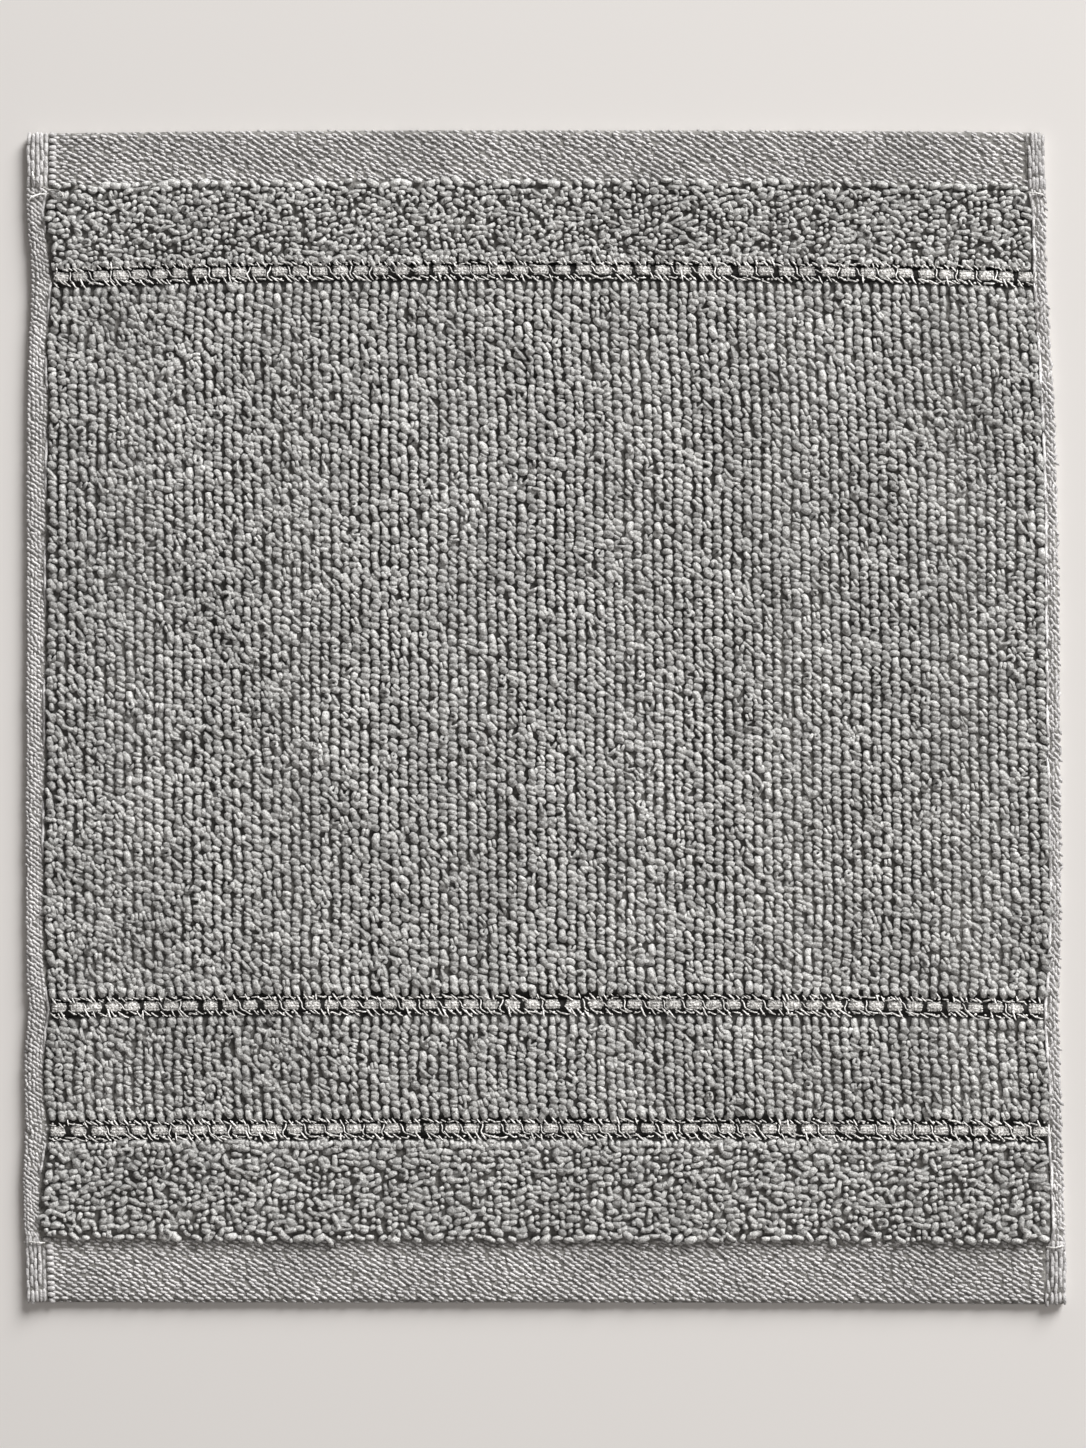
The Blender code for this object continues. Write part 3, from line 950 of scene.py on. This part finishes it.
def base_mesh(rows):
    """The base cloth as one closed sheet: its top, its underside and the rim between them."""
    columns = 2 * SIDE_COLUMNS + BASE_COLUMNS
    mesh = bmesh.new()
    bmesh.ops.create_grid(mesh, x_segments=columns, y_segments=len(rows) - 1, size=0.5)
    tone_layer = mesh.verts.layers.float.new("tone")
    fibre_layer = mesh.verts.layers.float_vector.new("fibre")
    top = mesh.verts[:] + mesh.edges[:] + mesh.faces[:]
    under = bmesh.ops.duplicate(mesh, geom=top)["geom"]
    under_faces = [part for part in under if isinstance(part, bmesh.types.BMFace)]
    under_verts = {part for part in under if isinstance(part, bmesh.types.BMVert)}
    bmesh.ops.reverse_faces(mesh, faces=under_faces)
    for vertex in mesh.verts:
        column = round((vertex.co.x + 0.5) * columns)
        row = rows[round((0.5 - vertex.co.y) * (len(rows) - 1))]
        place, tone = base_point(column, row, vertex not in under_verts)
        vertex.co = place
        vertex[tone_layer] = tone
        vertex[fibre_layer] = place
    rim = [edge for edge in mesh.edges if edge.is_boundary]
    bmesh.ops.bridge_loops(mesh, edges=rim)
    bmesh.ops.recalc_face_normals(mesh, faces=mesh.faces)
    return mesh


BACK_PITCH = 4.5 * MM


def fill_back(copies):
    """The loops of the underside, which the cloth rests on."""
    dice = copies.random
    knob = bean(4.4 * MM, 3.7 * MM, 1.6 * MM, rings=2, sides=4)
    top = TOP_HEM.y - HEM_MARGIN
    bottom = BOTTOM_HEM.y + HEM_MARGIN
    rows = round((top - bottom) / BACK_PITCH)
    for row in range(rows):
        y = top - (row + 0.5) * BACK_PITCH
        start, stop = pile_span(y)
        columns = round((stop - start) / BACK_PITCH)
        for column in range(columns):
            x = between(start, stop, (column + 0.5) / columns) + dice.gauss(0.0, 0.2) * MM
            spot = Vector((x, sagged(x, y) + dice.gauss(0.0, 0.2) * MM, dice.uniform(1.61, 1.7) * MM))
            copies.place(knob, spot, dice.gauss(-35.0, 25.0), tone=dice.uniform(0.85, 1.1))


def length_property(name, description, millimetres):
    return bpy.props.FloatProperty(
        name=name, description=description, default=millimetres * MM,
        min=0.0001, unit="LENGTH", subtype="DISTANCE",
    )


def colour_property(name, description, colour):
    return bpy.props.FloatVectorProperty(
        name=name, description=description, default=colour, size=3, min=0.0, max=1.0, subtype="COLOR",
    )


class WashclothSizes(bpy.types.PropertyGroup):
    """Sizes of the loops and of the weave."""

    loop_length: length_property("Loop length", "Length of a loop, seen from above", 2.95)
    loop_width: length_property("Loop width", "Width of a loop, seen from above", 2.25)
    loop_depth: length_property("Loop depth", "Height of a loop's back above its foot", 2.8)
    yarn_width: length_property("Yarn width", "Thickness of the yarn of a hook or ring", 1.2)
    band_pitch: length_property("Band spacing", "Spacing of the loops across a band", 1.98)
    ribbon_top: length_property("Ribbon height", "Height of the ribbon of a border line", 3.9)
    thread_radius: length_property("Thread radius", "Half the thickness of a loose thread end", 0.27)


class WashclothColours(bpy.types.PropertyGroup):
    """Colours of the yarns and of the floor."""

    loops: colour_property("Loops", "Colour of the loop yarn", (0.718, 0.717, 0.709))
    hems: colour_property("Hems", "Colour of the hem yarn", (0.825, 0.812, 0.818))
    ribbons: colour_property("Ribbons", "Colour of the border lines and threads", (0.86, 0.85, 0.835))
    # The base cloth's colour is darker than its yarn's: painted shade, as it lies under the loops.
    base: colour_property("Base cloth", "Colour of the cloth under the loops", (0.40, 0.39, 0.375))
    floor: colour_property("Floor", "Colour of the surface under the cloth", (0.912, 0.889, 0.875))


FIELD_PARTS = 4
LOOPS_ABOVE = 2.5 * MM
LOOPS_BELOW = 2.9 * MM
LOOPS_BY_HEM = 1.2 * MM


class WASHCLOTH_OT_field(bpy.types.Operator):
    """Make the loops of the main field and of the band below it, wale by wale"""

    bl_idname = "washcloth.field"
    bl_label = "Field loops"

    def execute(self, context):
        colours = context.scene.washcloth_colours
        shapes = loop_shapes(context.scene.washcloth_sizes)
        top = UPPER_BORDER.y - LOOPS_BELOW
        bottom = MIDDLE_BORDER.y + LOOPS_ABOVE
        for part in range(FIELD_PARTS):
            copies = Copies(100 + part)
            for wale in range(WALES * part // FIELD_PARTS, WALES * (part + 1) // FIELD_PARTS):
                walk_wale(copies, shapes, wale, top, bottom)
            copies.join(f"field_loops_{part + 1}", loop_material(colours))
        copies = Copies(110)
        top = MIDDLE_BORDER.y - LOOPS_BELOW
        bottom = LOWER_BORDER.y + LOOPS_ABOVE
        for wale in range(WALES):
            walk_wale(copies, shapes, wale, top, bottom)
        copies.join("middle_band_loops", loop_material(colours))
        return {"FINISHED"}


class WASHCLOTH_OT_bands(bpy.types.Operator):
    """Make the ruffled loops of the top band and of the bottom band"""

    bl_idname = "washcloth.bands"
    bl_label = "Band loops"

    def execute(self, context):
        sizes = context.scene.washcloth_sizes
        shapes = loop_shapes(sizes)
        # Each band's shade is painted shade, a little darker in the bottom band.
        bands = (
            ("top_band_loops", TOP_HEM.y - LOOPS_BY_HEM, UPPER_BORDER.y + LOOPS_ABOVE,
             TOP_HEM, 0.1, 0.92, 1.0),
            ("bottom_band_loops", LOWER_BORDER.y - LOOPS_BELOW - 0.6 * MM, BOTTOM_HEM.y + LOOPS_BY_HEM,
             BOTTOM_HEM, 0.3, 0.88, 1.16),
        )
        for name, top, bottom, hem, inward, shade, scale in bands:
            copies = Copies(name)
            fill_band(copies, shapes, top, bottom, scale * sizes.band_pitch, shade, scale)
            line_teeth(copies, shapes, bottom + 0.6 * MM if hem is TOP_HEM else top - 1.2 * MM, 1.9 * MM)
            line_lip(copies, shapes, hem, inward * MM)
            copies.join(name, loop_material(context.scene.washcloth_colours))
        return {"FINISHED"}


class WASHCLOTH_OT_end_hems(bpy.types.Operator):
    """Make the flat weave of the two end hems"""

    bl_idname = "washcloth.end_hems"
    bl_label = "End hems"

    def execute(self, context):
        material = hem_material(context.scene.washcloth_colours)
        for name, edge, hem, inward in (
            ("top_hem_weave", TOP_EDGE, TOP_HEM, -1.0),
            ("bottom_hem_weave", BOTTOM_EDGE, BOTTOM_HEM, 1.0),
        ):
            copies = Copies(name)
            weave_end_hem(copies, edge, hem, inward)
            copies.join(name, material)
        return {"FINISHED"}


class WASHCLOTH_OT_side_hems(bpy.types.Operator):
    """Make the weave of the two side hems and the threads along their seams"""

    bl_idname = "washcloth.side_hems"
    bl_label = "Side hems"

    def execute(self, context):
        material = hem_material(context.scene.washcloth_colours)
        for name, on_left in (("left_hem_weave", True), ("right_hem_weave", False)):
            copies = Copies(name)
            weave_side(copies, on_left)
            seam_thread(copies, on_left)
            copies.join(name, material)
        return {"FINISHED"}


class WASHCLOTH_OT_borders(bpy.types.Operator):
    """Make the three border lines, and the loose thread ends at the corners"""

    bl_idname = "washcloth.borders"
    bl_label = "Border lines"

    def execute(self, context):
        sizes = context.scene.washcloth_sizes
        material = ribbon_material(context.scene.washcloth_colours)
        shapes = ribbon_shapes()
        for number, line in enumerate(BORDERS):
            copies = Copies(300 + number)
            lay_border(copies, shapes, line, sizes.ribbon_top)
            copies.join(f"border_line_{number + 1}", material)
        copies = Copies(310)
        for points in THREAD_ENDS:
            lay_thread(copies, points, sizes.thread_radius)
        copies.join("thread_ends", material)
        return {"FINISHED"}


class WASHCLOTH_OT_back(bpy.types.Operator):
    """Make the loops of the underside"""

    bl_idname = "washcloth.back"
    bl_label = "Back loops"

    def execute(self, context):
        copies = Copies(400)
        fill_back(copies)
        copies.join("back_loops", loop_material(context.scene.washcloth_colours))
        return {"FINISHED"}


class WASHCLOTH_OT_base(bpy.types.Operator):
    bl_idname = "washcloth.base"
    bl_label = "Base cloth"

    def execute(self, context):
        mesh = base_mesh(base_rows())
        data = bpy.data.meshes.new("base_cloth")
        mesh.to_mesh(data)
        mesh.free()
        cloth = add_piece("base_cloth", data, base_material(context.scene.washcloth_colours))
        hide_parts(NODE)
        return {"FINISHED"}


# The studio lights: name, azimuth and elevation in degrees, distance, size, power and colour.
LAMPS = (
    ("key", 58.0, 26.0, 4.2, 2.31, 246.0, (1.0, 0.99, 0.972)),
    ("fill", -60.0, 60.0, 1.1, 0.9, 1.5, (1.0, 0.955, 0.91)),
)
AMBIENT_COLOUR = (1.0, 0.945, 0.895, 1.0)
AMBIENT_STRENGTH = 0.13
FLOOR_REACH = 3.0


def add_area_light(name, azimuth, elevation, distance, size, power, colour):
    light = bpy.data.lights.new(name, "AREA")
    light.shape = "DISK"
    light.size = size
    light.energy = power
    light.color = colour
    turned = math.radians(azimuth)
    raised = math.radians(elevation)
    level = math.cos(raised)
    away = Vector((math.cos(turned) * level, math.sin(turned) * level, math.sin(raised)))
    lamp = bpy.data.objects.new(name, light)
    lamp.location = away * distance
    lamp.rotation_euler = away.to_track_quat("Z", "Y").to_euler()
    bpy.context.scene.collection.objects.link(lamp)


def floor_material(colour):
    material = bpy.data.materials.new("pale_floor")
    material.use_nodes = True
    shader = material.node_tree.nodes["Principled BSDF"]
    set_inputs(shader, Base_Color=(*colour, 1.0), Roughness=0.85, Specular_IOR_Level=0.2)
    return material


class WASHCLOTH_OT_stage(bpy.types.Operator):
    """Make the plain pale floor, the soft studio light and the camera"""

    bl_idname = "washcloth.stage"
    bl_label = "Stage"

    def execute(self, context):
        scene = context.scene
        mesh = bmesh.new()
        bmesh.ops.create_grid(mesh, x_segments=1, y_segments=1, size=FLOOR_REACH)
        data = bpy.data.meshes.new("floor")
        mesh.to_mesh(data)
        mesh.free()
        data.materials.append(floor_material(scene.washcloth_colours.floor))
        floor = bpy.data.objects.new("floor", data)
        scene.collection.objects.link(floor)

        for lamp in LAMPS:
            add_area_light(*lamp)
        world = bpy.data.worlds.new("studio")
        world.use_nodes = True
        set_inputs(world.node_tree.nodes["Background"], Color=AMBIENT_COLOUR, Strength=AMBIENT_STRENGTH)
        scene.world = world
        scene.view_settings.view_transform = "Standard"

        lens = bpy.data.cameras.new("camera")
        lens.sensor_width = SENSOR
        lens.lens = SENSOR * VIEW_DISTANCE / VIEW_HEIGHT
        lens.clip_start = 0.01
        camera = bpy.data.objects.new("camera", lens)
        camera.location = (*VIEW_CENTRE, VIEW_DISTANCE + 3.0 * MM)
        scene.collection.objects.link(camera)
        scene.camera = camera
        return {"FINISHED"}


OPERATORS = (
    WASHCLOTH_OT_field,
    WASHCLOTH_OT_bands,
    WASHCLOTH_OT_end_hems,
    WASHCLOTH_OT_side_hems,
    WASHCLOTH_OT_borders,
    WASHCLOTH_OT_back,
    WASHCLOTH_OT_base,
    WASHCLOTH_OT_stage,
)


class WASHCLOTH_PT_panel(bpy.types.Panel):
    """The washcloth's sizes, colours and steps in the sidebar"""

    bl_idname = "WASHCLOTH_PT_panel"
    bl_label = "Washcloth"
    bl_space_type = "VIEW_3D"
    bl_region_type = "UI"
    bl_category = "Washcloth"

    def draw(self, context):
        for group in (context.scene.washcloth_sizes, context.scene.washcloth_colours):
            box = self.layout.box()
            for name in group.__annotations__:
                box.prop(group, name)
        for operator in OPERATORS:
            self.layout.operator(operator.bl_idname)


CLASSES = (WashclothSizes, WashclothColours, *OPERATORS, WASHCLOTH_PT_panel)


def register():
    for item in CLASSES:
        bpy.utils.register_class(item)
    bpy.types.Scene.washcloth_sizes = bpy.props.PointerProperty(type=WashclothSizes)
    bpy.types.Scene.washcloth_colours = bpy.props.PointerProperty(type=WashclothColours)


def unregister():
    del bpy.types.Scene.washcloth_colours
    del bpy.types.Scene.washcloth_sizes
    for item in reversed(CLASSES):
        bpy.utils.unregister_class(item)


def main():
    register()
    bpy.ops.washcloth.field()
    bpy.ops.washcloth.bands()
    bpy.ops.washcloth.end_hems()
    bpy.ops.washcloth.side_hems()
    bpy.ops.washcloth.borders()
    bpy.ops.washcloth.back()
    bpy.ops.washcloth.base()
    bpy.ops.washcloth.stage()


if __name__ == "__main__":
    main()
